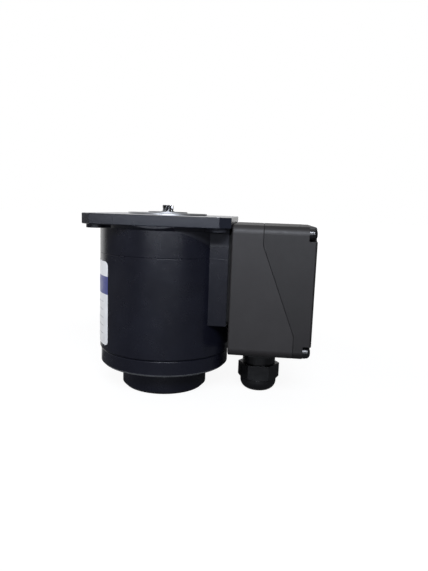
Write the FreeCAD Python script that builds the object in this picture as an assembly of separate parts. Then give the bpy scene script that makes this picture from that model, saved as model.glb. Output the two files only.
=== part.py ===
import FreeCAD
import Part
import math
import os

# Motor half of a small AC gear motor with a terminal box, in millimetres.
# The origin is the centre of the flange's mounting face. The shaft points up +Z, the terminal box is on +X.

# Flange, pilot and bolt holes
flange_side = 90.0
flange_thickness = 6.5
flange_corner_cut = 6.5
flange_edge = 0.4
bolt_edge_distance = 8.23
bolt_count = 4
bolt_hole_radius = 3.25
hole_boss_radius = 5.8
hole_boss_height = 2.2
hole_web_half = 4.0
flange_cove = 2.5
pilot_radius = 26.0
pilot_height = 1.2
pilot_edge = 0.3
seal_boss_radius = 13.0
seal_boss_rise = 0.8

# Round body
flange_overhang = 1.1
body_wall = 3.9
front_length = 25.2
housing_length = 62.7
rear_step = 0.9
rear_length = 10.4
joint_edge = 0.8
front_joint_edge = 0.25
rear_edge = 1.2
front_plate = 9.0
rear_plate = 6.0
spigot_height = 3.0
spigot_wall = 2.9
spigot_notch_gap = 1.1
hub_wall = 4.0
fit_gap = 0.05
press_gap = 0.01
cut_margin = 1.0
tiny = 1e-6

# Rear cap
cap_radius = 28.5
cap_length = 16.6
cap_wall = 2.0
cap_edge = 1.9
cap_spigot_height = 4.0
cap_spigot_wall = 2.4

# Flat pad for the terminal box, machined across the front bracket and the housing
pad_half_width = 30.0
pad_setback = 1.5
pad_depth = 67.0

# Through bolts
through_bolt_radius = 2.0
through_bolt_inset = 2.1
through_bolt_head_radius = 3.6
through_bolt_head_height = 3.4
through_bolt_engagement = 11.0
through_bolt_boss_radius = 4.6
through_bolt_sink = 4.5
bolt_hole_gap = 0.2
tapped_gap = 0.1
counterbore_gap = 0.6

# Ball bearings, 12 x 32 x 10
bearing_bore_radius = 6.0
bearing_outer_radius = 16.0
bearing_width = 10.0
ball_radius = 2.7
ball_count = 7
race_gap = 0.3
inner_shoulder_radius = 9.2
outer_shoulder_radius = 13.2
ball_cage_wall = 1.2
ball_cage_height = 7.0
pocket_gap = 0.1
shield_thickness = 0.4
shield_recess = 0.9
shield_seat = 1.0
shield_edge_gap = 0.4
front_bearing_depth = 10.0
rear_bearing_drop = 5.1
wave_washer_thickness = 0.3
wave_washer_height = 1.2
wave_count = 3
hub_floor = 2.8
hub_floor_hole_radius = 8.0

# Shaft, seal and helical pinion
shaft_tail = 2.5
shoulder_radius = 7.5
rotor_seat_radius = 8.0
rotor_seat_overhang = 2.0
collar_radius = 4.3
collar_top = 2.4
shaft_edge = 0.5
seal_radius = 10.0
seal_height = 4.7
seal_recess = 0.3
seal_lip_gap = 0.06
passage_radius = 7.5
pinion_module = 0.65
pinion_teeth = 9
pinion_face = 3.85
pinion_helix_angle = 22.0
pinion_pressure_angle = 20.0
pinion_layers = 4

# Stator and rotor
core_end_space = 13.35
air_gap = 0.35
stator_section = 16.45
slot_count = 24
slot_mouth_half = 0.8
slot_lip = 1.6
slot_depth = 8.2
slot_half_inner = 1.75
slot_half_outer = 2.75
liner_gap = 0.03
liner_wall = 0.25
winding_gap = 0.05
end_turn_height = 9.5
end_turn_offset = 0.5
end_turn_inner_gap = 2.4
end_turn_clearance = 5.5
end_turn_bevel = 2.5
core_notch_gap = 0.5
rotor_bar_count = 17
rotor_bar_radius = 1.9
rotor_bar_inset = 3.0
cage_ring_height = 5.0
cage_ring_wall = 9.5
cage_ring_inset = 0.6
cage_blade_count = 8
cage_blade_height = 3.5
cage_blade_width = 1.6
cage_blade_length = 6.0

# Rating label, wrapped on the side away from the terminal box
label_thickness = 0.15
label_gap = 0.03
label_half_angle = 44.6
label_height = 54.0
label_drop = 30.0
label_corner = 3.0

# Terminal box
box_flange_gap = 0.3
box_depth = 50.4
box_half_width = 36.0
box_top = -3.8
box_height = 80.4
box_wall = 2.5
box_corner = 5.0
box_back_edge = 1.0
box_face_edge = 1.5
split_top_depth = 18.7
split_bottom_depth = 39.3
split_upper_drop = 11.8
split_lower_rise = 14.7
cover_gap = 0.3
cover_gasket_inset = 0.6
cover_gasket_width = 1.1
cover_screw_inset = 4.3
cover_notch_radius = 4.3
cover_notch_depth = 5.0
cover_post_wall = 1.8
base_post_half = 4.6
cover_screw_radius = 2.0
cover_screw_head_radius = 3.6
cover_screw_head_height = 2.7
cover_screw_grip = 10.0
cover_washer_height = 2.1
cover_washer_radius = 3.8
screw_head_edge = 0.8
tap_depth_spare = 1.0

# Seat of the box on the motor
seat_gasket_inset = 1.0
seat_gasket_corner = 3.0
seat_gasket_top = 9.0
box_screw_half_spacing = 18.0
box_screw_upper_margin = 5.0
box_screw_lower_margin = 3.0
box_screw_radius = 2.0
box_screw_head_radius = 3.6
box_screw_head_height = 2.6
box_screw_engagement = 5.5
box_screw_tap_spare = 0.5
earth_screw_y = 22.0
earth_screw_rise = 3.0
earth_washer_radius = 4.5
earth_washer_height = 0.8

# Leads and grommet
lead_hole_rise = 0.3
lead_hole_radius = 6.6
lead_names = ("lead_black", "lead_red", "lead_white", "lead_grey")
lead_spacing = 2.5
lead_radius = 0.95
lead_bend = 8.0
lead_start_gap = 0.2
grommet_bore_radius = 4.9
grommet_flange_radius = 8.0
grommet_flange_height = 1.2
grommet_gap = 0.1

# Terminal block
block_half_width = 24.0
block_height = 7.0
block_length = 14.0
block_drop = 12.0
block_ear = 6.0
block_ear_height = 4.0
block_screw_floor = 1.0
barrier_height = 6.0
barrier_wall = 1.4
barrier_margin = 1.5
terminal_count = 6
terminal_plate_length = 12.0
terminal_plate_gap = 0.3
terminal_plate_height = 1.0
terminal_screw_radius = 1.5
terminal_screw_head_radius = 2.5
terminal_screw_head_height = 2.0
terminal_screw_reach = 5.0
terminal_row_half = 3.6
lug_radius = 3.0
lug_thickness = 0.8
lug_barrel_radius = 1.5
lug_barrel_length = 4.5
lug_barrel_start = 2.7
lug_insertion = 2.5

# Cable gland, M20
gland_thread_radius = 9.95
gland_across_flats = 24.0
gland_hex_height = 6.2
gland_hex_bevel = 30.0
gland_collar_radius = 11.0
gland_collar_height = 5.4
gland_neck_radius = 9.6
gland_neck_height = 4.5
gland_bore_radius = 7.9
gland_claw_height = 7.0
gland_claw_wall = 1.3
gland_claw_tip_wall = 0.3
gland_claw_slots = 8
gland_claw_slot_width = 1.2
gland_ring_height = 0.8
gland_ring_radius = 12.2
gland_nut_gap = 0.3
gland_nut_hex_height = 10.3
gland_nut_dome_height = 7.4
gland_nut_mouth_radius = 6.6
gland_nut_lip = 2.0
gland_nut_thread_gap = 0.1
gland_nut_thread_depth = 8.5
gland_dome_radius = 12.05
gland_dome_shoulder = 1.5
gland_dome_end_radius = 8.4
gland_dome_bulge = 1.2
gland_seal_bore_radius = 5.0
gland_seal_height = 9.0
gland_seal_gap = 0.1
locknut_across_flats = 27.0
locknut_height = 5.0
locknut_spare = 1.5
gland_hole_gap = 0.25

V = FreeCAD.Vector
Z_AXIS = V(0, 0, 1)
X_AXIS = V(1, 0, 0)

# Radii of the body and levels along the shaft
body_radius = flange_side / 2 - flange_overhang
rear_radius = body_radius - rear_step
front_joint_z = -front_length
rear_joint_z = front_joint_z - housing_length
rear_face_z = rear_joint_z - rear_length
cap_face_z = rear_face_z - cap_length
flange_back_z = -flange_thickness
seal_boss_top_z = pilot_height + seal_boss_rise
pad_bottom_z = -pad_depth
housing_inner_radius = body_radius - body_wall
spigot_radius = housing_inner_radius - fit_gap
spigot_inner_radius = spigot_radius - spigot_wall
core_top_z = front_joint_z - core_end_space
core_bottom_z = rear_joint_z + core_end_space
stator_bore_radius = housing_inner_radius - stator_section
rotor_radius = stator_bore_radius - air_gap
end_turn_outer_radius = housing_inner_radius - end_turn_clearance
end_turn_middle_z = core_top_z + end_turn_offset + end_turn_height / 2
front_bearing_top_z = -front_bearing_depth
front_bearing_low_z = front_bearing_top_z - bearing_width
rear_bearing_top_z = rear_joint_z - rear_bearing_drop
rear_bearing_low_z = rear_bearing_top_z - bearing_width
rear_seat_z = rear_bearing_low_z - wave_washer_height
hub_end_z = rear_seat_z - hub_floor
hub_radius = bearing_outer_radius + hub_wall
bearing_seat_radius = bearing_outer_radius + press_gap
pitch_radius = (inner_shoulder_radius + outer_shoulder_radius) / 2
race_radius = ball_radius + race_gap
through_bolt_place = housing_inner_radius - through_bolt_inset
through_bolt_top_z = front_joint_z + through_bolt_engagement
through_bolt_seat_z = rear_face_z + through_bolt_sink

# Places in the terminal box and on its pad
pad_face_x = flange_side / 2 - pad_setback
lead_hole_z = end_turn_middle_z + lead_hole_rise
seat_gasket_top_z = -seat_gasket_top
seat_gasket_bottom_z = pad_bottom_z + seat_gasket_inset
box_screw_upper_z = seat_gasket_top_z - box_screw_upper_margin
box_screw_lower_z = seat_gasket_bottom_z + box_screw_lower_margin
earth_screw_z = lead_hole_z + earth_screw_rise
block_top_z = lead_hole_z - block_drop
box_back_x = flange_side / 2 + box_flange_gap
box_face_x = box_back_x + box_depth
box_bottom = box_top - box_height
box_inner_x = box_back_x + box_wall
split_top_x = box_back_x + split_top_depth
split_bottom_x = box_back_x + split_bottom_depth
notch_floor_x = box_face_x - cover_notch_depth
screw_y = box_half_width - cover_screw_inset
upper_screw_z = box_top - cover_screw_inset
lower_screw_z = box_bottom + cover_screw_inset
box_screw_places = [(side * box_screw_half_spacing, level)
                    for level in (box_screw_upper_z, box_screw_lower_z) for side in (-1, 1)]
block_bottom_z = block_top_z - block_length
block_middle_z = block_top_z - block_length / 2
block_face_x = box_inner_x + block_height
terminal_pitch = 2 * block_half_width / terminal_count
terminal_ys = [-block_half_width + terminal_pitch * (place + 0.5) for place in range(terminal_count)]
plate_face_x = block_face_x + terminal_plate_height
upper_terminal_z = block_middle_z + terminal_row_half
lower_terminal_z = block_middle_z - terminal_row_half
lead_x = plate_face_x + lug_barrel_radius
first_lead_terminal = (terminal_count - len(lead_names)) // 2

# Levels of the gland, which hangs under the middle of the base
gland_x = (box_back_x + split_bottom_x) / 2
gland_hex_top = box_bottom - gland_ring_height
gland_hex_low = gland_hex_top - gland_hex_height
gland_collar_low = gland_hex_low - gland_collar_height
gland_nut_top = gland_collar_low - gland_nut_gap
gland_nut_hex_low = gland_nut_top - gland_nut_hex_height
gland_nut_low = gland_nut_hex_low - gland_nut_dome_height
gland_neck_low = gland_collar_low - gland_neck_height
gland_claw_low = gland_neck_low - gland_claw_height
gland_inner_end = box_bottom + box_wall + locknut_height + locknut_spare

parts = {}


def cylinder(radius, z_low, z_high, x=0.0, y=0.0):
    return Part.makeCylinder(radius, z_high - z_low, V(x, y, z_low), Z_AXIS)


def ring(outer, inner, z_low, z_high, x=0.0, y=0.0):
    return cylinder(outer, z_low, z_high, x, y).cut(cylinder(inner, z_low, z_high, x, y))


def rod_x(radius, x_low, x_high, y, z):
    return Part.makeCylinder(radius, x_high - x_low, V(x_low, y, z), X_AXIS)


def box(x_low, x_high, y_low, y_high, z_low, z_high):
    return Part.makeBox(x_high - x_low, y_high - y_low, z_high - z_low, V(x_low, y_low, z_low))


def revolve(profile):
    """Solid of revolution about Z from (radius, height) points."""
    points = [V(radius, 0, height) for radius, height in profile]
    face = Part.Face(Part.makePolygon(points + points[:1]))
    return face.revolve(V(0, 0, 0), Z_AXIS, 360)


def prism_y(outline, half_width):
    """Prism along Y from (x, z) points."""
    points = [V(x, -half_width, z) for x, z in outline]
    face = Part.Face(Part.makePolygon(points + points[:1]))
    return face.extrude(V(0, 2 * half_width, 0))


def edges_along(shape, axis):
    """Straight edges of a shape that run along one axis."""
    found = []
    for edge in shape.Edges:
        span = edge.Vertexes[-1].Point.sub(edge.Vertexes[0].Point)
        if span.Length > 0 and abs(span.dot(axis)) > 0.999 * span.Length:
            found.append(edge)
    return found


def rounded_box_x(x_low, x_high, half_width, z_low, z_high, corner):
    """Box with its four edges along X rounded."""
    shape = box(x_low, x_high, -half_width, half_width, z_low, z_high)
    return shape.makeFillet(corner, edges_along(shape, X_AXIS))


def hexagon(across_flats, z_low, z_high, x, y):
    """Hexagonal prism with two flats facing -Y and +Y."""
    corner = across_flats / math.sqrt(3)
    turns = [math.radians(60 * k) for k in range(6)]
    points = [V(x + corner * math.cos(turn), y + corner * math.sin(turn), z_low) for turn in turns]
    return Part.Face(Part.makePolygon(points + points[:1])).extrude(V(0, 0, z_high - z_low))


def bevelled_hexagon(across_flats, z_bevelled, z_plain):
    """Hexagonal prism about Z whose corners are turned off at one end."""
    flat = across_flats / 2
    corner = across_flats / math.sqrt(3)
    rise = (corner - flat) * math.tan(math.radians(gland_hex_bevel))
    shoulder = z_bevelled + math.copysign(rise, z_plain - z_bevelled)
    turned = revolve([(0, z_bevelled), (flat, z_bevelled), (corner, shoulder), (corner, z_plain),
                      (0, z_plain)])
    return hexagon(across_flats, min(z_bevelled, z_plain), max(z_bevelled, z_plain), 0, 0).common(turned)


def around(shape, count, first=0.0):
    """Copies of a shape spaced evenly about Z."""
    copies = []
    for index in range(count):
        copy = shape.copy()
        copy.rotate(V(0, 0, 0), Z_AXIS, first + 360.0 * index / count)
        copies.append(copy)
    return copies


def fuse_all(shapes):
    return shapes[0].multiFuse(shapes[1:]).removeSplitter()


def edges_at(shape, z, radius):
    """Circular edges about Z at one height and radius."""
    circles = [edge for edge in shape.Edges if isinstance(edge.Curve, Part.Circle)]
    level = [edge for edge in circles if abs(edge.Curve.Center.z - z) < tiny]
    return [edge for edge in level if abs(edge.Curve.Radius - radius) < tiny]


def pan_screw_x(seat_x, end_x, shank, head_radius, head_height, y, z):
    """Pan-head screw driven toward -X, its head seated at seat_x and its tip at end_x."""
    head = rod_x(head_radius, seat_x, seat_x + head_height, y, z)
    rim = [edge for edge in head.Edges if abs(edge.BoundBox.XMin - seat_x - head_height) < tiny]
    head = head.makeChamfer(screw_head_edge, [edge for edge in rim if edge.BoundBox.XLength < tiny])
    return head.fuse(rod_x(shank, end_x, seat_x, y, z))


def flange_outline(z_low, z_high):
    half = flange_side / 2
    plate = box(-half, half, -half, half, z_low, z_high)
    return plate.makeChamfer(flange_corner_cut, edges_along(plate, Z_AXIS))


def with_pad(shape, z_low, z_high):
    """Adds the flat pad to the round body between two heights and machines its face."""
    pad = box(0, pad_face_x, -pad_half_width, pad_half_width, z_low, z_high)
    crown = box(pad_face_x, flange_side, -pad_half_width, pad_half_width, z_low, z_high)
    return shape.fuse(pad).cut(crown)


def box_screw_holes():
    """Tapped holes in the pad for the screws that hold the terminal box and the earth screw."""
    low = pad_face_x - box_screw_engagement - box_screw_tap_spare
    places = box_screw_places + [(earth_screw_y, earth_screw_z)]
    return [rod_x(box_screw_radius + tapped_gap, low, pad_face_x + cut_margin, y, z) for y, z in places]


def bolt_notches(radius, z_low, z_high):
    """Four cylinders on the through bolts' axes."""
    return around(cylinder(radius, z_low, z_high, through_bolt_place), bolt_count, 45)


def make_spigot(z_low, z_high):
    """Ring that centres a bracket in the housing, open where the through bolts pass."""
    wall = ring(spigot_radius, spigot_inner_radius, z_low, z_high)
    return wall.cut(Part.makeCompound(bolt_notches(through_bolt_radius + spigot_notch_gap, z_low, z_high)))


def make_front_bracket():
    plate = flange_outline(flange_back_z, 0)
    rims = [edge for edge in plate.Edges if edge.BoundBox.ZLength < tiny]
    plate = plate.makeChamfer(flange_edge, rims)
    round_body = cylinder(body_radius, front_joint_z, flange_back_z)
    round_body = round_body.makeChamfer(front_joint_edge, edges_at(round_body, front_joint_z, body_radius))
    cove_low = flange_back_z - flange_cove
    cove = Part.makeCone(body_radius, body_radius + flange_cove, flange_cove, V(0, 0, cove_low), Z_AXIS)
    cove = cove.common(flange_outline(cove_low, flange_back_z))
    hole_place = (flange_side / 2 - bolt_edge_distance) * math.sqrt(2)
    boss_low = flange_back_z - hole_boss_height
    boss = cylinder(hole_boss_radius, boss_low, flange_back_z, hole_place)
    web = box(housing_inner_radius, hole_place, -hole_web_half, hole_web_half, boss_low, flange_back_z)
    bosses = around(boss.fuse(web), bolt_count, 45)
    bosses = [lug.common(flange_outline(boss_low, flange_back_z)) for lug in bosses]
    body = fuse_all([plate, round_body, cove] + bosses)
    body = with_pad(body, front_joint_z, flange_back_z)

    cavity = cylinder(spigot_inner_radius, front_joint_z, -front_plate)
    hub = cylinder(hub_radius, front_bearing_low_z, -front_plate)
    columns = bolt_notches(through_bolt_boss_radius, front_joint_z, -front_plate)
    body = body.cut(cavity.cut(fuse_all([hub] + columns)))
    spigot = make_spigot(front_joint_z - spigot_height, front_joint_z)
    pilot = cylinder(pilot_radius, 0, pilot_height)
    pilot = pilot.makeChamfer(pilot_edge, edges_at(pilot, pilot_height, pilot_radius))
    seal_boss = cylinder(seal_boss_radius, 0, seal_boss_top_z)
    seal_boss = seal_boss.makeChamfer(pilot_edge, edges_at(seal_boss, seal_boss_top_z, seal_boss_radius))
    body = fuse_all([body, pilot, seal_boss] + spigot.Solids)

    seat_relief = outer_shoulder_radius + shield_seat / 2
    cuts = [cylinder(bearing_seat_radius, front_bearing_low_z, front_bearing_top_z),
            cylinder(seat_relief, front_bearing_top_z, front_bearing_top_z + shield_seat),
            cylinder(passage_radius, front_bearing_top_z, seal_boss_top_z),
            cylinder(seal_radius + fit_gap, seal_boss_top_z - seal_recess - seal_height, seal_boss_top_z)]
    cuts += around(cylinder(bolt_hole_radius, boss_low, 0, hole_place), bolt_count, 45)
    tap_end_z = through_bolt_top_z + tap_depth_spare
    cuts += bolt_notches(through_bolt_radius + tapped_gap, front_joint_z, tap_end_z)
    cuts += [hole for hole in box_screw_holes() if hole.BoundBox.Center.z > front_joint_z]
    return body.cut(Part.makeCompound(cuts))


def make_stator_housing():
    tube = cylinder(body_radius, rear_joint_z, front_joint_z)
    tube = tube.makeChamfer(front_joint_edge, edges_at(tube, front_joint_z, body_radius))
    tube = tube.makeChamfer(joint_edge, edges_at(tube, rear_joint_z, body_radius))
    tube = with_pad(tube, pad_bottom_z, front_joint_z)
    cuts = [cylinder(housing_inner_radius, rear_joint_z, front_joint_z),
            rod_x(lead_hole_radius, 0, pad_face_x + cut_margin, 0, lead_hole_z)]
    cuts += [hole for hole in box_screw_holes() if hole.BoundBox.Center.z < front_joint_z]
    return tube.cut(Part.makeCompound(cuts))


def make_rear_bracket():
    plate = cylinder(rear_radius, rear_face_z, rear_joint_z)
    plate = plate.makeChamfer(joint_edge, edges_at(plate, rear_joint_z, rear_radius))
    plate = plate.makeChamfer(rear_edge, edges_at(plate, rear_face_z, rear_radius))
    cavity_radius = spigot_inner_radius - through_bolt_boss_radius / 2
    cavity = cylinder(cavity_radius, rear_face_z + rear_plate, rear_joint_z)
    hub = cylinder(hub_radius, hub_end_z, rear_bearing_top_z)
    cap_spigot_radius = cap_radius - cap_wall - fit_gap
    cap_spigot = ring(cap_spigot_radius, cap_spigot_radius - cap_spigot_wall,
                      rear_face_z - cap_spigot_height, rear_face_z)
    spigot = make_spigot(rear_joint_z, rear_joint_z + spigot_height)
    body = fuse_all([plate.cut(cavity), hub, cap_spigot] + spigot.Solids)
    cuts = [cylinder(bearing_seat_radius, rear_seat_z, rear_joint_z),
            cylinder(hub_floor_hole_radius, hub_end_z, rear_seat_z)]
    cuts += bolt_notches(through_bolt_radius + bolt_hole_gap, rear_face_z, rear_joint_z)
    cuts += bolt_notches(through_bolt_head_radius + counterbore_gap, rear_face_z, through_bolt_seat_z)
    return body.cut(Part.makeCompound(cuts))


def make_rear_cap():
    cup = cylinder(cap_radius, cap_face_z, rear_face_z)
    cup = cup.makeChamfer(cap_edge, edges_at(cup, cap_face_z, cap_radius))
    return cup.cut(cylinder(cap_radius - cap_wall, cap_face_z + cap_wall, rear_face_z))


def make_through_bolts():
    shank = cylinder(through_bolt_radius, through_bolt_seat_z, through_bolt_top_z, through_bolt_place)
    head_low = through_bolt_seat_z - through_bolt_head_height
    head = cylinder(through_bolt_head_radius, head_low, through_bolt_seat_z, through_bolt_place)
    return Part.makeCompound(around(shank.fuse(head), bolt_count, 45))


def make_bearing(prefix, z_low):
    """Shielded ball bearing as rings, balls, ball cage and shields."""
    z_high = z_low + bearing_width
    middle = V(0, 0, (z_low + z_high) / 2)
    groove = Part.makeTorus(pitch_radius, race_radius, middle)
    inner = ring(inner_shoulder_radius, bearing_bore_radius + press_gap, z_low, z_high)
    parts[prefix + "_bearing_inner"] = inner.cut(groove)
    outer = ring(bearing_outer_radius, outer_shoulder_radius, z_low, z_high).cut(groove)
    seat_radius = outer_shoulder_radius + shield_seat
    seats = [cylinder(seat_radius, z_low, z_low + shield_recess),
             cylinder(seat_radius, z_high - shield_recess, z_high)]
    parts[prefix + "_bearing_outer"] = outer.cut(Part.makeCompound(seats))
    hole_radius = inner_shoulder_radius + shield_edge_gap
    low_shield = z_low + shield_recess - shield_thickness
    high_shield = z_high - shield_recess
    shields = [ring(seat_radius - fit_gap, hole_radius, low, low + shield_thickness)
               for low in (low_shield, high_shield)]
    parts[prefix + "_bearing_shields"] = Part.makeCompound(shields)
    place = V(pitch_radius, 0, middle.z)
    balls = around(Part.makeSphere(ball_radius, place), ball_count)
    parts[prefix + "_bearing_balls"] = Part.makeCompound(balls)
    pocket = rod_x(ball_radius + pocket_gap, inner_shoulder_radius, outer_shoulder_radius, 0, middle.z)
    pockets = around(pocket, ball_count)
    band = ring(pitch_radius + ball_cage_wall / 2, pitch_radius - ball_cage_wall / 2,
                middle.z - ball_cage_height / 2, middle.z + ball_cage_height / 2)
    parts[prefix + "_ball_cage"] = band.cut(Part.makeCompound(pockets))


def make_wave_washer():
    """Wavy spring ring under the rear bearing's outer ring."""
    middle = rear_seat_z + (wave_washer_height - wave_washer_thickness) / 2
    swing = (wave_washer_height - wave_washer_thickness) / 2 - press_gap

    def wave(radius):
        points = []
        for step in range(8 * wave_count):
            angle = 2 * math.pi * step / (8 * wave_count)
            points.append(V(radius * math.cos(angle), radius * math.sin(angle),
                            middle + swing * math.cos(wave_count * angle)))
        curve = Part.BSplineCurve()
        curve.interpolate(Points=points, PeriodicFlag=True)
        return curve.toShape()

    sheet = Part.makeRuledSurface(wave(bearing_seat_radius - fit_gap), wave(outer_shoulder_radius))
    return sheet.extrude(V(0, 0, wave_washer_thickness)).Solids[0]


def make_shaft_seal():
    top = seal_boss_top_z - seal_recess
    return ring(seal_radius, collar_radius + seal_lip_gap, top - seal_height, top)


def pinion_section(z, turn):
    """Closed outline of the pinion at one height, with involute flanks."""
    pitch = pinion_module * pinion_teeth / 2
    base = pitch * math.cos(math.radians(pinion_pressure_angle))
    tip = pitch + pinion_module
    root = pitch - 1.25 * pinion_module

    def involute(radius):
        slope = math.acos(min(1.0, base / radius))
        return math.tan(slope) - slope

    def half_angle(radius):
        return math.pi / (2 * pinion_teeth) + involute(pitch) - involute(max(radius, base))

    points = []
    for tooth in range(pinion_teeth):
        centre = turn + 2 * math.pi * tooth / pinion_teeth
        flank = [(radius, half_angle(radius)) for radius in (root, base, pitch, tip)]
        for radius, angle in [(r, -a) for r, a in flank] + flank[::-1]:
            points.append(V(radius * math.cos(centre + angle), radius * math.sin(centre + angle), z))
    return Part.makePolygon(points + points[:1])


def make_pinion_shaft():
    """Rotor shaft with bearing journals and the helical pinion cut on its upper end."""
    tail_z = rear_bearing_low_z - shaft_tail
    seat_top = core_top_z + rotor_seat_overhang
    seat_low = core_bottom_z - rotor_seat_overhang
    journal_top = front_bearing_top_z + shield_recess
    profile = [(0, tail_z), (bearing_bore_radius - shaft_edge, tail_z),
               (bearing_bore_radius, tail_z + shaft_edge),
               (bearing_bore_radius, rear_bearing_top_z), (shoulder_radius, rear_bearing_top_z),
               (shoulder_radius, seat_low), (rotor_seat_radius, seat_low), (rotor_seat_radius, seat_top),
               (shoulder_radius, seat_top), (shoulder_radius, front_bearing_low_z),
               (bearing_bore_radius, front_bearing_low_z), (bearing_bore_radius, journal_top),
               (collar_radius, journal_top), (collar_radius, collar_top), (0, collar_top)]
    pitch = pinion_module * pinion_teeth / 2
    twist = pinion_face * math.tan(math.radians(pinion_helix_angle)) / pitch
    layer_height = pinion_face / pinion_layers
    sections = [pinion_section(collar_top + layer_height * layer, twist * layer / pinion_layers)
                for layer in range(pinion_layers + 1)]
    teeth = Part.makeLoft(sections, True, True)
    return revolve(profile).fuse(teeth)


def slot_outline(inset):
    """One stator slot as a face in the XY plane, drawn in from its walls by an inset."""
    inner = stator_bore_radius + slot_lip + inset
    outer = stator_bore_radius + slot_lip + slot_depth - inset
    points = [V(inner, -slot_half_inner + inset, 0), V(outer, -slot_half_outer + inset, 0),
              V(outer, slot_half_outer - inset, 0), V(inner, slot_half_inner - inset, 0)]
    return Part.Face(Part.makePolygon(points + points[:1]))


def slot_prism(inset, z_low, z_high):
    prism = slot_outline(inset).extrude(V(0, 0, z_high - z_low))
    prism.translate(V(0, 0, z_low))
    return prism


def make_stator_core():
    core = ring(housing_inner_radius - fit_gap, stator_bore_radius, core_bottom_z, core_top_z)
    mouth = box(stator_bore_radius - cut_margin, stator_bore_radius + slot_lip + slot_depth / 2,
                -slot_mouth_half, slot_mouth_half, core_bottom_z, core_top_z)
    slots = around(slot_prism(0, core_bottom_z, core_top_z).fuse(mouth), slot_count, 180.0 / slot_count)
    notches = bolt_notches(through_bolt_radius + core_notch_gap, core_bottom_z, core_top_z)
    return core.cut(Part.makeCompound(slots + notches))


def make_slot_insulation():
    channel = slot_prism(liner_gap, core_bottom_z, core_top_z)
    hollow = slot_prism(liner_gap + liner_wall, core_bottom_z, core_top_z)
    return Part.makeCompound(around(channel.cut(hollow), slot_count, 180.0 / slot_count))


def make_windings():
    inner = stator_bore_radius + end_turn_inner_gap
    bundles = []
    for low in (core_top_z + end_turn_offset, core_bottom_z - end_turn_offset - end_turn_height):
        bundle = ring(end_turn_outer_radius, inner, low, low + end_turn_height)
        rims = edges_at(bundle, low, end_turn_outer_radius)
        rims += edges_at(bundle, low + end_turn_height, end_turn_outer_radius)
        bundles.append(bundle.makeChamfer(end_turn_bevel, rims))
    inset = liner_gap + liner_wall + winding_gap
    bar = slot_prism(inset, core_bottom_z - 2 * end_turn_offset, core_top_z + 2 * end_turn_offset)
    return fuse_all(bundles + around(bar, slot_count, 180.0 / slot_count))


def make_rotor_core():
    core = ring(rotor_radius, rotor_seat_radius + press_gap, core_bottom_z, core_top_z)
    bar = cylinder(rotor_bar_radius + press_gap, core_bottom_z, core_top_z, rotor_radius - rotor_bar_inset)
    return core.cut(Part.makeCompound(around(bar, rotor_bar_count)))


def make_rotor_cage():
    """Cast aluminium bars, end rings and small blades."""
    outer = rotor_radius - cage_ring_inset
    inner = outer - cage_ring_wall
    rings = [ring(outer, inner, core_top_z, core_top_z + cage_ring_height),
             ring(outer, inner, core_bottom_z - cage_ring_height, core_bottom_z)]
    bar = cylinder(rotor_bar_radius, core_bottom_z, core_top_z, rotor_radius - rotor_bar_inset)
    blade_in = outer - cage_ring_wall / 2 - cage_blade_length / 2
    blades = []
    top = core_top_z + cage_ring_height
    low = core_bottom_z - cage_ring_height
    for z_low, z_high in ((top, top + cage_blade_height), (low - cage_blade_height, low)):
        half = cage_blade_width / 2
        blade = box(blade_in, blade_in + cage_blade_length, -half, half, z_low, z_high)
        blades += around(blade, cage_blade_count)
    return fuse_all(rings + around(bar, rotor_bar_count) + blades)


def make_rating_label():
    inner = body_radius + label_gap
    outer = inner + label_thickness
    half_width = body_radius * math.sin(math.radians(label_half_angle))
    low = -label_drop - label_height
    window = rounded_box_x(-outer - cut_margin, 0, half_width, low, -label_drop, label_corner)
    return ring(outer, inner, low, -label_drop).common(window)


def box_outer():
    """Outer form of the closed terminal box."""
    shape = rounded_box_x(box_back_x, box_face_x, box_half_width, box_bottom, box_top, box_corner)
    back_rim = [edge for edge in shape.Edges if edge.BoundBox.XMax < box_back_x + tiny]
    shape = shape.makeFillet(box_back_edge, back_rim)
    face_rim = [edge for edge in shape.Edges if edge.BoundBox.XMin > box_face_x - tiny]
    return shape.makeFillet(box_face_edge, face_rim)


def base_side(shift):
    """Everything on the motor's side of the slanted split, moved outward by a shift."""
    back = box_back_x - cut_margin
    above = box_top + cut_margin
    below = box_bottom - cut_margin
    outline = [(back, above), (split_top_x + shift, above),
               (split_top_x + shift, box_top - split_upper_drop),
               (split_bottom_x + shift, box_bottom + split_lower_rise),
               (split_bottom_x + shift, below), (back, below)]
    return prism_y(outline, box_half_width + cut_margin)


def corner_posts(half):
    """Square posts round the four cover screws, out to the box's corners."""
    posts = []
    for side in (-1, 1):
        inner_y = side * (screw_y - half)
        outer_y = side * box_half_width
        y_low, y_high = sorted((inner_y, outer_y))
        posts.append(box(box_back_x, box_face_x, y_low, y_high, upper_screw_z - half, box_top))
        posts.append(box(box_back_x, box_face_x, y_low, y_high, box_bottom, lower_screw_z + half))
    return posts


def box_cavity(post_half):
    cavity = rounded_box_x(box_inner_x, box_face_x - box_wall, box_half_width - box_wall,
                           box_bottom + box_wall, box_top - box_wall, box_corner - box_wall)
    return cavity.cut(Part.makeCompound(corner_posts(post_half)))


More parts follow.
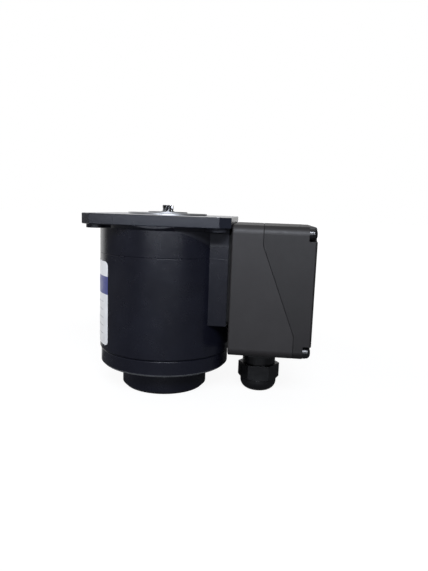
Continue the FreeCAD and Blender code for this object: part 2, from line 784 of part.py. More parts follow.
def cover_notches():
    """Corner recesses of the cover, rounded about each screw and open to both outer sides."""
    notches = []
    out_x = box_face_x + cut_margin
    for side in (-1, 1):
        for level, up in ((upper_screw_z, 1), (lower_screw_z, -1)):
            centre_y = side * screw_y
            out_y = side * (box_half_width + cut_margin)
            in_y = side * (screw_y - cover_notch_radius)
            out_z = level + up * (cover_screw_inset + cut_margin)
            in_z = level - up * cover_notch_radius
            spans = [(centre_y, out_y, in_z, out_z), (in_y, out_y, level, out_z)]
            pieces = [rod_x(cover_notch_radius, notch_floor_x, out_x, centre_y, level)]
            for y_a, y_b, z_a, z_b in spans:
                y_low, y_high = sorted((y_a, y_b))
                z_low, z_high = sorted((z_a, z_b))
                pieces.append(box(notch_floor_x, out_x, y_low, y_high, z_low, z_high))
            notches.append(fuse_all(pieces))
    return notches


def cover_screw_places():
    """Place of each cover screw and the depth of the split on its axis."""
    places = []
    for side in (-1, 1):
        places.append((side * screw_y, upper_screw_z, split_top_x))
        places.append((side * screw_y, lower_screw_z, split_bottom_x))
    return places


def make_box_base():
    base = box_outer().common(base_side(0)).cut(box_cavity(base_post_half))
    cuts = [cylinder(gland_thread_radius + gland_hole_gap, box_bottom, box_bottom + box_wall, gland_x),
            rod_x(lead_hole_radius, box_back_x, box_inner_x, 0, lead_hole_z)]
    for y, z, split in cover_screw_places():
        low = split - cover_screw_grip - tap_depth_spare
        cuts.append(rod_x(cover_screw_radius + tapped_gap, low, split + cut_margin, y, z))
    for y, z in box_screw_places + [(earth_screw_y, earth_screw_z)]:
        cuts.append(rod_x(box_screw_radius + bolt_hole_gap, box_back_x, box_inner_x, y, z))
    for side in (-1, 1):
        ear_y = side * (block_half_width + block_ear / 2)
        cuts.append(rod_x(terminal_screw_radius + tapped_gap, box_back_x + block_screw_floor, box_inner_x,
                          ear_y, block_middle_z))
    return base.cut(Part.makeCompound(cuts))


def make_box_cover():
    cover = box_outer().cut(base_side(cover_gap)).cut(box_cavity(cover_notch_radius + cover_post_wall))
    cuts = cover_notches()
    for y, z, split in cover_screw_places():
        cuts.append(rod_x(cover_screw_radius + bolt_hole_gap, split, box_face_x, y, z))
    return cover.cut(Part.makeCompound(cuts))


def make_cover_gasket():
    """Thin rubber ring that follows the slanted split inside the walls."""
    slab = base_side(cover_gap).cut(base_side(0))
    outer_inset = cover_gasket_inset
    inner_inset = cover_gasket_inset + cover_gasket_width

    def inset_prism(inset):
        return rounded_box_x(box_back_x, box_face_x, box_half_width - inset, box_bottom + inset,
                             box_top - inset, box_corner - inset)

    return slab.common(inset_prism(outer_inset).cut(inset_prism(inner_inset)))


def make_cover_screws():
    seat = notch_floor_x + cover_washer_height
    screws = [pan_screw_x(seat, split - cover_screw_grip, cover_screw_radius, cover_screw_head_radius,
                          cover_screw_head_height, y, z) for y, z, split in cover_screw_places()]
    return Part.makeCompound(screws)


def make_cover_washers():
    washers = []
    for y, z, split in cover_screw_places():
        seat = notch_floor_x + cover_washer_height
        disc = rod_x(cover_washer_radius, notch_floor_x, seat, y, z)
        hole = rod_x(cover_screw_radius + bolt_hole_gap, notch_floor_x, seat, y, z)
        washers.append(disc.cut(hole))
    return Part.makeCompound(washers)


def make_seat_gasket():
    sheet = rounded_box_x(pad_face_x, box_back_x, pad_half_width - seat_gasket_inset,
                          seat_gasket_bottom_z, seat_gasket_top_z, seat_gasket_corner)
    cuts = [rod_x(grommet_flange_radius + grommet_gap, pad_face_x, box_back_x, 0, lead_hole_z)]
    for y, z in box_screw_places + [(earth_screw_y, earth_screw_z)]:
        cuts.append(rod_x(box_screw_radius + bolt_hole_gap, pad_face_x, box_back_x, y, z))
    return sheet.cut(Part.makeCompound(cuts))


def make_box_screws():
    tip = pad_face_x - box_screw_engagement
    screws = [pan_screw_x(box_inner_x, tip, box_screw_radius, box_screw_head_radius,
                          box_screw_head_height, y, z) for y, z in box_screw_places]
    return Part.makeCompound(screws)


def make_earth_screw():
    seat = box_inner_x + earth_washer_height
    tip = pad_face_x - box_screw_engagement
    parts["earth_screw"] = pan_screw_x(seat, tip, box_screw_radius, box_screw_head_radius,
                                       box_screw_head_height, earth_screw_y, earth_screw_z)
    disc = rod_x(earth_washer_radius, box_inner_x, seat, earth_screw_y, earth_screw_z)
    hole = rod_x(box_screw_radius + bolt_hole_gap, box_inner_x, seat, earth_screw_y, earth_screw_z)
    parts["earth_washer"] = disc.cut(hole)


def make_lead_grommet():
    out = box_inner_x + grommet_gap
    back = box_back_x - grommet_gap
    pieces = [rod_x(lead_hole_radius - grommet_gap, back, out, 0, lead_hole_z),
              rod_x(grommet_flange_radius, out, out + grommet_flange_height, 0, lead_hole_z),
              rod_x(grommet_flange_radius, back - grommet_flange_height, back, 0, lead_hole_z)]
    bore = rod_x(grommet_bore_radius, back - grommet_flange_height, out + grommet_flange_height,
                 0, lead_hole_z)
    return fuse_all(pieces).cut(bore)


def lead_route(index):
    """Start, corner and lug point of one lead, with the direction from the lug back to the corner."""
    start_y = (index - (len(lead_names) - 1) / 2) * lead_spacing
    start = V(end_turn_outer_radius + lead_start_gap, start_y, lead_hole_z)
    corner = V(lead_x, start_y, lead_hole_z)
    terminal = V(lead_x, terminal_ys[first_lead_terminal + index], upper_terminal_z)
    direction = corner.sub(terminal).normalize()
    return start, corner, terminal, direction


def make_lead(index):
    """Insulated lead from the windings through the grommet to its lug, one bend of a named radius."""
    start, corner, terminal, direction = lead_route(index)
    end = terminal + direction * (lug_barrel_start + lug_insertion)
    arrive = V(start).sub(corner).normalize()
    leave = direction * -1
    bend_in = corner + arrive * lead_bend
    bend_out = corner + leave * lead_bend
    middle_direction = (arrive + leave).normalize()
    bend_middle = corner + middle_direction * (lead_bend * (math.sqrt(2) - 1))
    path = Part.Wire([Part.LineSegment(start, bend_in).toShape(),
                      Part.Arc(bend_in, bend_middle, bend_out).toShape(),
                      Part.LineSegment(bend_out, end).toShape()])
    section = Part.Wire([Part.Circle(start, X_AXIS, lead_radius).toShape()])
    return path.makePipeShell([section], True, False)


def make_lead_lugs():
    lugs = []
    for index in range(len(lead_names)):
        start, corner, terminal, direction = lead_route(index)
        eye = rod_x(lug_radius, plate_face_x, plate_face_x + lug_thickness, terminal.y, terminal.z)
        foot = terminal + direction * lug_barrel_start
        barrel = Part.makeCylinder(lug_barrel_radius, lug_barrel_length, foot, direction)
        bore_start = foot + direction * (lug_insertion - lug_thickness)
        bore = Part.makeCylinder(lead_radius + fit_gap, lug_barrel_length, bore_start, direction)
        hole = rod_x(terminal_screw_radius + tapped_gap, plate_face_x, plate_face_x + lug_thickness,
                     terminal.y, terminal.z)
        lugs.append(eye.fuse(barrel).cut(bore).cut(hole))
    return Part.makeCompound(lugs)


def terminal_screw_places():
    """Axis of each terminal screw and whether a lug lies under its head."""
    last = first_lead_terminal + len(lead_names)
    places = []
    for index, y in enumerate(terminal_ys):
        places.append((y, upper_terminal_z, first_lead_terminal <= index < last))
        places.append((y, lower_terminal_z, False))
    return places


def make_terminal_block():
    body = box(box_inner_x, block_face_x, -block_half_width, block_half_width, block_bottom_z, block_top_z)
    ears = box(box_inner_x, box_inner_x + block_ear_height, -block_half_width - block_ear,
               block_half_width + block_ear, block_bottom_z, block_top_z)
    walls = []
    for index in range(terminal_count + 1):
        middle = -block_half_width + terminal_pitch * index
        y_low = max(middle - barrier_wall / 2, -block_half_width)
        y_high = min(middle + barrier_wall / 2, block_half_width)
        walls.append(box(block_face_x, block_face_x + barrier_height, y_low, y_high,
                         block_bottom_z, block_top_z - barrier_margin))
    body = fuse_all([body, ears] + walls)
    tapped_radius = terminal_screw_radius + tapped_gap
    cuts = [rod_x(tapped_radius, block_face_x - terminal_screw_reach, block_face_x, y, z)
            for y, z, lugged in terminal_screw_places()]
    for side in (-1, 1):
        ear_y = side * (block_half_width + block_ear / 2)
        cuts.append(rod_x(tapped_radius, box_inner_x, box_inner_x + block_ear_height,
                          ear_y, block_middle_z))
    return body.cut(Part.makeCompound(cuts))


def make_terminal_plates():
    half = (terminal_pitch - barrier_wall) / 2 - terminal_plate_gap
    plates = []
    for y in terminal_ys:
        plate = box(block_face_x, plate_face_x, y - half, y + half,
                    block_middle_z - terminal_plate_length / 2, block_middle_z + terminal_plate_length / 2)
        holes = [rod_x(terminal_screw_radius + tapped_gap, block_face_x, plate_face_x, y, z)
                 for z in (upper_terminal_z, lower_terminal_z)]
        plates.append(plate.cut(Part.makeCompound(holes)))
    return Part.makeCompound(plates)


def make_terminal_screws():
    tip = block_face_x - terminal_screw_reach + tapped_gap
    screws = []
    for y, z, lugged in terminal_screw_places():
        seat = plate_face_x + (lug_thickness if lugged else 0)
        screws.append(pan_screw_x(seat, tip, terminal_screw_radius,
                                  terminal_screw_head_radius, terminal_screw_head_height, y, z))
    return Part.makeCompound(screws)


def make_block_screws():
    seat = box_inner_x + block_ear_height
    tip = box_back_x + block_screw_floor + tapped_gap
    screws = []
    for side in (-1, 1):
        ear_y = side * (block_half_width + block_ear / 2)
        screws.append(pan_screw_x(seat, tip, terminal_screw_radius, terminal_screw_head_radius,
                                  terminal_screw_head_height, ear_y, block_middle_z))
    return Part.makeCompound(screws)


def make_gland_body():
    hex_body = bevelled_hexagon(gland_across_flats, gland_hex_top, gland_hex_low)
    hex_body.translate(V(gland_x, 0, 0))
    pieces = [cylinder(gland_thread_radius, gland_hex_top, gland_inner_end, gland_x), hex_body,
              cylinder(gland_collar_radius, gland_collar_low, gland_hex_low, gland_x),
              cylinder(gland_neck_radius, gland_neck_low, gland_collar_low, gland_x),
              Part.makeCone(gland_bore_radius + gland_claw_tip_wall, gland_bore_radius + gland_claw_wall,
                            gland_claw_height, V(gland_x, 0, gland_claw_low), Z_AXIS)]
    body = fuse_all(pieces).cut(cylinder(gland_bore_radius, gland_claw_low, gland_inner_end, gland_x))
    half = gland_claw_slot_width / 2
    slot = box(gland_bore_radius - cut_margin, gland_neck_radius + cut_margin, -half, half,
               gland_claw_low, gland_neck_low)
    slots = around(slot, gland_claw_slots, 180.0 / gland_claw_slots)
    for cut in slots:
        cut.translate(V(gland_x, 0, 0))
    return body.cut(Part.makeCompound(slots))


def make_gland_nut():
    """Hexagonal nut that runs into a rounded end with an open mouth."""
    shoulder_z = gland_nut_hex_low - gland_dome_shoulder
    bulge_radius = (gland_dome_radius + gland_dome_end_radius) / 2 + gland_dome_bulge
    bulge = V(bulge_radius, 0, (shoulder_z + gland_nut_low) / 2)
    top = V(gland_dome_radius, 0, gland_nut_hex_low)
    shoulder = V(gland_dome_radius, 0, shoulder_z)
    end = V(gland_dome_end_radius, 0, gland_nut_low)
    outline = Part.Wire([Part.LineSegment(V(0, 0, gland_nut_hex_low), top).toShape(),
                         Part.LineSegment(top, shoulder).toShape(),
                         Part.Arc(shoulder, bulge, end).toShape(),
                         Part.LineSegment(end, V(0, 0, gland_nut_low)).toShape(),
                         Part.LineSegment(V(0, 0, gland_nut_low), V(0, 0, gland_nut_hex_low)).toShape()])
    dome = Part.Face(outline).revolve(V(0, 0, 0), Z_AXIS, 360)
    thread = gland_neck_radius + gland_nut_thread_gap
    thread_low = gland_nut_top - gland_nut_thread_depth
    hollow = revolve([(0, gland_nut_top), (thread, gland_nut_top), (thread, thread_low),
                      (gland_nut_mouth_radius, gland_nut_low + gland_nut_lip),
                      (gland_nut_mouth_radius, gland_nut_low), (0, gland_nut_low)])
    nut = dome.fuse(bevelled_hexagon(gland_across_flats, gland_nut_hex_low, gland_nut_top)).cut(hollow)
    nut.translate(V(gland_x, 0, 0))
    return nut


def make_gland_seal():
    low = gland_claw_low - gland_claw_slot_width
    outer = gland_bore_radius - gland_seal_gap
    return ring(outer, gland_seal_bore_radius, low, low + gland_seal_height, gland_x)


def make_gland_sealing_ring():
    return ring(gland_ring_radius, gland_thread_radius + fit_gap, gland_hex_top, box_bottom, gland_x)


def make_gland_locknut():
    low = box_bottom + box_wall
    nut = hexagon(locknut_across_flats, low, low + locknut_height, gland_x, 0)
    return nut.cut(cylinder(gland_thread_radius + fit_gap, low, low + locknut_height, gland_x))


parts["front_bracket"] = make_front_bracket()
parts["stator_housing"] = make_stator_housing()
parts["rear_bracket"] = make_rear_bracket()
parts["rear_cap"] = make_rear_cap()
parts["through_bolts"] = make_through_bolts()
make_bearing("front", front_bearing_low_z)
make_bearing("rear", rear_bearing_low_z)
parts["wave_washer"] = make_wave_washer()
parts["shaft_seal"] = make_shaft_seal()
parts["pinion_shaft"] = make_pinion_shaft()
parts["stator_core"] = make_stator_core()
parts["slot_insulation"] = make_slot_insulation()
parts["stator_windings"] = make_windings()
parts["rotor_core"] = make_rotor_core()
parts["rotor_cage"] = make_rotor_cage()
parts["rating_label"] = make_rating_label()
parts["terminal_box_base"] = make_box_base()
parts["terminal_box_cover"] = make_box_cover()
parts["cover_gasket"] = make_cover_gasket()
parts["cover_screws"] = make_cover_screws()
parts["cover_washers"] = make_cover_washers()
parts["seat_gasket"] = make_seat_gasket()
parts["box_screws"] = make_box_screws()
make_earth_screw()
parts["lead_grommet"] = make_lead_grommet()
for lead_index, lead_name in enumerate(lead_names):
    parts[lead_name] = make_lead(lead_index)
parts["lead_lugs"] = make_lead_lugs()
parts["terminal_block"] = make_terminal_block()
parts["terminal_plates"] = make_terminal_plates()
parts["terminal_screws"] = make_terminal_screws()
parts["block_screws"] = make_block_screws()
parts["gland_body"] = make_gland_body()
parts["gland_sealing_ring"] = make_gland_sealing_ring()
parts["gland_locknut"] = make_gland_locknut()
parts["gland_seal"] = make_gland_seal()
parts["gland_nut"] = make_gland_nut()

os.makedirs("parts", exist_ok=True)
for name, shape in parts.items():
    shape.exportStep("parts/" + name + ".step")
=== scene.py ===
import math

import bmesh
import bpy
from mathutils import Matrix, Vector


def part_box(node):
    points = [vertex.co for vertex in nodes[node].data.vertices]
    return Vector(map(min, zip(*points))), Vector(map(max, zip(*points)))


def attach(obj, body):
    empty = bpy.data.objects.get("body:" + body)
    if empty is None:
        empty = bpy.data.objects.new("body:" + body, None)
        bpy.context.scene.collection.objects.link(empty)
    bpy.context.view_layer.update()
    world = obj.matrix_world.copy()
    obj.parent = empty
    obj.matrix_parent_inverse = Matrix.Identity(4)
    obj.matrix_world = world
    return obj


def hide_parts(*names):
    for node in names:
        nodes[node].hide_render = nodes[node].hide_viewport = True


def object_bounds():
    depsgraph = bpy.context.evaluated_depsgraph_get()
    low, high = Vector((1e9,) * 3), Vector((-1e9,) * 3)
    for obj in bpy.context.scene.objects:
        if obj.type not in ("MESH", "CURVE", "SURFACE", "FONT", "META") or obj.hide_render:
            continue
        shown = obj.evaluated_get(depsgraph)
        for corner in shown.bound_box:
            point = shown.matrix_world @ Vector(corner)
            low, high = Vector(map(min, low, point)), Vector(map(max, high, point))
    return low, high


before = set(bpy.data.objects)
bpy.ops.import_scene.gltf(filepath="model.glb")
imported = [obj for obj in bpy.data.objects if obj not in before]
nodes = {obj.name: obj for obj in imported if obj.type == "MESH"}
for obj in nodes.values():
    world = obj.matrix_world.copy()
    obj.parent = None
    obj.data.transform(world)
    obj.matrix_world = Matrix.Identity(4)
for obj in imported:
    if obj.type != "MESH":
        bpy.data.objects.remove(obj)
cad_low, cad_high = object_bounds()

MM = 0.001

# Camera, fitted to the photograph: place in the part's frame, angles in degrees, focal length in pixels
PHOTO_HEIGHT = 571
FOCAL_PIXELS = 500.1
SENSOR = 36.0
CLIP_START = 0.01
CAMERA_PLACE = Vector((63.42, -331.73, 4.52)) * MM
CAMERA_YAW = 5.33
CAMERA_PITCH = -8.65
CAMERA_ROLL = 2.016

# Painted brackets: the bare face, the flange with a painted highlight on its sides, the dry paint below it
# and the bevel of the rear rim
BARE_METAL_Z = -0.08 * MM
FLANGE_LOW_Z = -6.5 * MM
DRY_START = 0.1 * MM
DRY_DEPTH = 9.0 * MM
DRY_FADE = 3.0 * MM
DRY_FULL_X = 20.0 * MM
DRY_SLOPE = 0.60
WET_SLOPE = 0.90
DRY_ROUGH = 0.75
RIM_BEVEL = 1.2 * MM
RIM_BLUR = 0.3 * MM

# Pinion teeth, between which shade is painted: where they start, and the radii of their roots and tips
TOOTH_LOW_Z = 2.4 * MM
TOOTH_ROOT = 2.7 * MM
TOOTH_TIP = 3.5 * MM

# Print on the label: heights of the band and the table, the table's half angle, its cells and its rules
LABEL_BAND_TOP = -39.3 * MM
LABEL_BAND_LOW = -50.8 * MM
TABLE_TOP = LABEL_BAND_LOW - 3.4 * MM
TABLE_LOW = -78.1 * MM
TABLE_HALF_TURN = math.radians(36.1)
TABLE_ROW = 2.6 * MM
TABLE_COLUMN = math.radians(14.0)
RULE_HALF_WIDTH = 0.10 * MM
RULE_BLUR = 0.06 * MM
RULE_HALF_TURN = math.radians(0.12)
RULE_TURN_BLUR = math.radians(0.08)
PRINT_EDGE = 0.1 * MM
PRINT_TURN_EDGE = math.radians(0.1)

# Screws that are modelled in full here; plain numbers are counts or shares of a radius or height
COVER_HEAD_HEIGHT = 2.7 * MM
BOLT_HEAD_HEIGHT = 3.4 * MM
SHANK_RADIUS = 2.0 * MM
THREAD_LENGTH = 11.0 * MM
THREAD_PITCH = 0.7 * MM
THREAD_DEPTH = 0.32 * MM
THREAD_ROWS = 4
TIP_BEVEL = 0.3 * MM
TIP_SHARE = 0.75
ROUND_STEPS = 36
DOME_STEPS = 8
DOME_TURN = math.radians(62)
DOME_WALL = 0.28
PAN_BEVEL = 0.04
SOCKET_BEVEL = 0.03
SOCKET_ROUND = 0.1
ROUND_MIDDLE = 0.3
CROSS_REACH = 0.40
CROSS_ARM = 0.10
CROSS_DEPTH = 1.5 * MM
HEX_ACROSS = 3.0 * MM
HEX_DEPTH = 2.0 * MM
RECESS_TAPER = 0.75
SHARP_ANGLE = math.radians(32)

# Cosines between a face and its softened normal: on a plain face and on a sharp edge
FACE_COSINE = 0.985
EDGE_COSINE = 0.80

# A wave texture of scale 1 repeats at this length
WAVE_LENGTH = math.tau / 20


class Graph:
    """A node tree that is built up by short calls."""

    def __init__(self, tree, coordinate):
        self.tree = tree
        self.place = self.node("ShaderNodeTexCoord").outputs[coordinate]

    def node(self, kind, **settings):
        """A new node with some of its settings."""
        made = self.tree.nodes.new(kind)
        for key, value in settings.items():
            setattr(made, key, value)
        return made

    def node_from(self, kind, value, **settings):
        """A new node with a value fed to its first socket."""
        made = self.node(kind, **settings)
        self.feed(made.inputs[0], value)
        return made

    def feed(self, socket, value):
        """Links an output to a socket, or sets a plain value on it."""
        if isinstance(value, bpy.types.NodeSocket):
            self.tree.links.new(value, socket)
        elif isinstance(value, tuple) and len(value) == 3 and socket.type == "RGBA":
            socket.default_value = (*value, 1.0)
        else:
            socket.default_value = value

    def axis(self, letter):
        """One coordinate of the place."""
        return self.node_from("ShaderNodeSeparateXYZ", self.place).outputs[letter]

    def math(self, operation, first, second=0.0):
        """Math on one or two numbers."""
        made = self.node_from("ShaderNodeMath", first, operation=operation)
        self.feed(made.inputs[1], second)
        return made.outputs[0]

    def times(self, *values):
        """Product of two or more numbers."""
        product = values[0]
        for value in values[1:]:
            product = self.math("MULTIPLY", product, value)
        return product

    def vectors(self, operation, first, second=None, result="Vector"):
        """Vector math, whose result is a Vector or a Value."""
        made = self.node_from("ShaderNodeVectorMath", first, operation=operation)
        if second is not None:
            self.feed(made.inputs[1], second)
        return made.outputs[result]

    def ramp(self, value, low, high, first=0.0, last=1.0):
        """Value taken from low..high to first..last, smoothly and within those."""
        made = self.node("ShaderNodeMapRange", interpolation_type="SMOOTHSTEP")
        for socket, number in zip(made.inputs, (value, low, high, first, last)):
            self.feed(socket, number)
        return made.outputs[0]

    def above(self, value, edge, blur):
        """0 below an edge and 1 above it, with a change that reaches blur to each side."""
        return self.ramp(value, edge - blur, edge + blur)

    def within(self, value, low, high, blur):
        """1 between low and high, falling to 0 at both over a width of blur."""
        return self.times(self.ramp(value, low, low + blur), self.ramp(value, high, high - blur))

    def combine(self, data_type, suffix, share, first, second):
        """A mix of two values of one type, whose sockets end in suffix."""
        made = self.node("ShaderNodeMix", data_type=data_type)
        values = {"Factor_Float": share, "A_" + suffix: first, "B_" + suffix: second}
        for socket in made.inputs:
            if socket.identifier in values:
                self.feed(socket, values[socket.identifier])
        return next(s for s in made.outputs if s.identifier == "Result_" + suffix)

    def mix(self, share, first, second):
        """Colour between two colours."""
        return self.combine("RGBA", "Color", share, first, second)

    def between(self, share, first, second):
        """Number between two numbers."""
        return self.combine("FLOAT", "Float", share, first, second)


class Look(Graph):
    """A material around one Principled shader, with places in metres in the part's frame."""

    def __init__(self, name, rough=0.5, metal=0.0, shine=0.5):
        self.material = bpy.data.materials.new(name)
        self.material.use_nodes = True
        super().__init__(self.material.node_tree, "Object")
        self.shader = self.tree.nodes["Principled BSDF"]
        self.set(Roughness=rough, Metallic=metal, Specular_IOR_Level=shine)

    def set(self, **values):
        """Feeds sockets of the Principled shader, with _ for each space in a name."""
        for name, value in values.items():
            self.feed(self.shader.inputs[name.replace("_", " ")], value)

    def radius(self):
        """Distance from the Z axis."""
        level = self.vectors("MULTIPLY", self.place, (1.0, 1.0, 0.0))
        return self.vectors("LENGTH", level, result="Value")

    def noise(self, size, detail=2.0, stretch=(1, 1, 1)):
        """Noise whose lumps measure about size metres, drawn out along the axes by stretch."""
        scaled = self.node_from("ShaderNodeMapping", self.place)
        scaled.inputs["Scale"].default_value = [1 / s for s in stretch]
        made = self.node_from("ShaderNodeTexNoise", scaled.outputs[0])
        made.inputs["Scale"].default_value = 1 / size
        made.inputs["Detail"].default_value = detail
        return made.outputs["Fac"]

    def patches(self, size, detail, low, high, first=0.0, last=1.0):
        """Noise in lumps of about size metres, taken from low..high to first..last."""
        return self.ramp(self.noise(size, detail), low, high, first, last)

    def waves(self, spacing, distortion, detail, **settings):
        """Waves, one every spacing metres."""
        made = self.node_from("ShaderNodeTexWave", self.place, **settings)
        made.inputs["Scale"].default_value = WAVE_LENGTH / spacing
        made.inputs["Distortion"].default_value = distortion
        made.inputs["Detail"].default_value = detail
        return made.outputs["Fac"]

    def rings(self, spacing):
        """Waves about the Z axis."""
        return self.waves(spacing, distortion=0.6, detail=1.0, wave_type="RINGS", rings_direction="Z")

    def layers(self, spacing):
        """Waves along the Z axis."""
        return self.waves(spacing, distortion=0.3, detail=2.0, wave_type="BANDS", bands_direction="Z")

    def soft_normal(self, radius):
        """Normal that runs smoothly over an edge, as a small radius on it would."""
        made = self.node("ShaderNodeBevel", samples=6)
        made.inputs["Radius"].default_value = radius
        return made.outputs["Normal"]

    def edges(self, radius):
        """About 1 on sharp edges and 0 on faces."""
        normal = self.node("ShaderNodeNewGeometry").outputs["Normal"]
        cosine = self.vectors("DOT_PRODUCT", self.soft_normal(radius), normal, "Value")
        return self.ramp(cosine, FACE_COSINE, EDGE_COSINE)

    def bump(self, height, depth, normal=None):
        """Normal of a surface whose height differs by depth metres."""
        made = self.node("ShaderNodeBump")
        made.inputs["Distance"].default_value = depth
        self.feed(made.inputs["Height"], height)
        if normal is not None:
            self.feed(made.inputs["Normal"], normal)
        return made.outputs["Normal"]


def dress(look, *names):
    """Gives a look to CAD nodes."""
    for name in names:
        slots = nodes[name].data.materials
        slots.clear()
        slots.append(look.material)


def islands(name):
    """Boxes of the separate solids in a CAD node, as lowest and highest corners."""
    work = bmesh.new()
    work.from_mesh(nodes[name].data)
    bmesh.ops.remove_doubles(work, verts=work.verts, dist=0.001 * MM)
    work.verts.index_update()
    met = set()
    boxes = []
    for first in work.verts:
        if first.index in met:
            continue
        met.add(first.index)
        waiting = [first]
        points = []
        while waiting:
            vert = waiting.pop()
            points.append(vert.co.copy())
            for edge in vert.link_edges:
                other = edge.other_vert(vert)
                if other.index not in met:
                    met.add(other.index)
                    waiting.append(other)
        boxes.append((Vector(map(min, zip(*points))), Vector(map(max, zip(*points)))))
    work.free()
    return boxes


def shank_rows(length):
    """(distance from the seat, radius, share of thread) along a shank, from its tip to the seat."""
    step = THREAD_PITCH / THREAD_ROWS
    count = int(THREAD_LENGTH / step)
    start = TIP_BEVEL - length
    rows = [(-length, TIP_SHARE * SHANK_RADIUS, 0.0)]
    rows += [(start + step * i, SHANK_RADIUS, 1.0) for i in range(count)]
    return rows + [(start + step * count, SHANK_RADIUS, 0.0), (0.0, SHANK_RADIUS, 0.0)]


def pan_rows(radius, height):
    """Rows of a low domed head, from its underside to the rim of its small flat top."""
    wall = DOME_WALL * height
    rows = [(0.0, (1 - PAN_BEVEL) * radius, 0.0), (PAN_BEVEL * height, radius, 0.0), (wall, radius, 0.0)]
    for i in range(1, DOME_STEPS + 1):
        turn = DOME_TURN * i / DOME_STEPS
        rise = math.sin(turn) / math.sin(DOME_TURN)
        rows.append((wall + (height - wall) * rise, radius * math.cos(turn), 0.0))
    return rows


def socket_rows(radius, height):
    """Rows of a cylindrical head with a rounded rim."""
    edge = SOCKET_ROUND * height
    bend = ROUND_MIDDLE * edge
    return [(0.0, (1 - SOCKET_BEVEL) * radius, 0.0), (SOCKET_BEVEL * height, radius, 0.0),
            (height - edge, radius, 0.0), (height - bend, radius - bend, 0.0), (height, radius - edge, 0.0)]


def cross(half, arm):
    """Outline of a cross recess: half is its reach and arm half the width of an arm."""
    quarter = [(half, -arm), (half, arm), (arm, arm)]
    turns = [(1, 0), (0, 1), (-1, 0), (0, -1)]
    return [(c * u - s * v, s * u + c * v) for c, s in turns for u, v in quarter]


def hexagon(across):
    """Outline of a hexagon socket, by its width across flats."""
    corner = across / math.sqrt(3)
    turns = [math.radians(60 * i) for i in range(6)]
    return [(corner * math.cos(turn), corner * math.sin(turn)) for turn in turns]


def add_screw(work, rows, recess, depth, place):
    """Adds one screw along +X to a mesh: turned rows with a helical thread and a recess in the head."""

    def loop(points):
        return [work.verts.new(place @ Vector(p)) for p in points]

    def join(first, second):
        for i in range(len(first)):
            j = (i + 1) % len(first)
            work.faces.new((first[i], first[j], second[j], second[i]))

    last = None
    for along, radius, thread in rows:
        points = []
        for i in range(ROUND_STEPS):
            share = i / ROUND_STEPS
            wave = abs(2 * ((along / THREAD_PITCH - share) % 1.0) - 1)
            reach = radius - THREAD_DEPTH * thread * wave
            points.append((along, reach * math.cos(math.tau * share), reach * math.sin(math.tau * share)))
        ring = loop(points)
        if last is None:
            work.faces.new(ring[::-1])
        else:
            join(last, ring)
        last = ring
    top = rows[-1][0]
    mouth = loop([(top, u, v) for u, v in recess])
    floor = loop([(top - depth, RECESS_TAPER * u, RECESS_TAPER * v) for u, v in recess])
    edges = [work.edges.get((a, b)) for a, b in zip(last, last[1:] + last[:1])]
    edges += [work.edges.new((a, b)) for a, b in zip(mouth, mouth[1:] + mouth[:1])]
    bmesh.ops.bridge_loops(work, edges=edges)
    join(mouth, floor)
    work.faces.new(floor)


def finish_screws(work, name, node, look):
    """Makes an object of the screws, which stands for their CAD node."""
    bmesh.ops.recalc_face_normals(work, faces=work.faces)
    mesh = bpy.data.meshes.new(name)
    work.to_mesh(mesh)
    work.free()
    mesh.polygons.foreach_set("use_smooth", [True] * len(mesh.polygons))
    mesh.set_sharp_from_angle(angle=SHARP_ANGLE)
    mesh.materials.append(look.material)
    piece = bpy.data.objects.new(name, mesh)
    bpy.context.scene.collection.objects.link(piece)
    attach(piece, "motor_body")
    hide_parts(node)


def make_cover_screws(look):
    """Pan-head screws with a cross recess, driven toward -X."""
    work = bmesh.new()
    for low, high in islands("cover_screws"):
        radius = (high.y - low.y) / 2
        seat = high.x - COVER_HEAD_HEIGHT
        rows = shank_rows(seat - low.x) + pan_rows(radius, COVER_HEAD_HEIGHT)
        place = Matrix.Translation((seat, (low.y + high.y) / 2, (low.z + high.z) / 2))
        recess = cross(CROSS_REACH * radius, CROSS_ARM * radius)
        add_screw(work, rows, recess, CROSS_DEPTH, place)
    finish_screws(work, "cover_screws_full", "cover_screws", look)


def make_through_bolts(look):
    """Socket-head bolts in the rear bracket, driven toward +Z."""
    work = bmesh.new()
    for low, high in islands("through_bolts"):
        radius = (high.y - low.y) / 2
        seat = low.z + BOLT_HEAD_HEIGHT
        rows = shank_rows(high.z - seat) + socket_rows(radius, BOLT_HEAD_HEIGHT)
        place = Matrix.Translation(((low.x + high.x) / 2, (low.y + high.y) / 2, seat))
        turned = place @ Matrix.Rotation(math.pi / 2, 4, "Y")
        add_screw(work, rows, hexagon(HEX_ACROSS), HEX_DEPTH, turned)
    finish_screws(work, "through_bolts_full", "through_bolts", look)


# Colours
PAINT = (0.0050, 0.0054, 0.0100)
PAINT_LIGHT = (0.0068, 0.0074, 0.0130)
PAINT_WORN = (0.045, 0.049, 0.060)
# Painted highlight on the sides of the flange, strongest towards +X
PAINT_RIM_HIGHLIGHT = (0.016, 0.018, 0.026)
# Paler colour on the bevel of the rear bracket's lower rim
PAINT_PALE_BEVEL = (0.12, 0.124, 0.132)
BARE_ALUMINIUM = (0.50, 0.505, 0.52)
BARE_ALUMINIUM_DULL = (0.46, 0.465, 0.48)
CAST_ALUMINIUM = (0.60, 0.60, 0.62)
CAST_ALUMINIUM_LIGHT = (0.74, 0.74, 0.76)
BOX_GREY = (0.0168, 0.0150, 0.0152)
BOX_GREY_LIGHT = (0.0195, 0.0175, 0.0178)
COVER_GREY = (0.0085, 0.0072, 0.0074)
COVER_GREY_LIGHT = (0.0105, 0.0090, 0.0092)
NYLON = (0.0040, 0.0041, 0.0048)
NYLON_LIGHT = (0.0060, 0.0061, 0.0070)
BLOCK_GREY = (0.020, 0.020, 0.022)
BLOCK_GREY_LIGHT = (0.030, 0.030, 0.032)
RUBBER_BLACK = (0.010, 0.010, 0.010)
PINION_STEEL = (0.42, 0.42, 0.43)
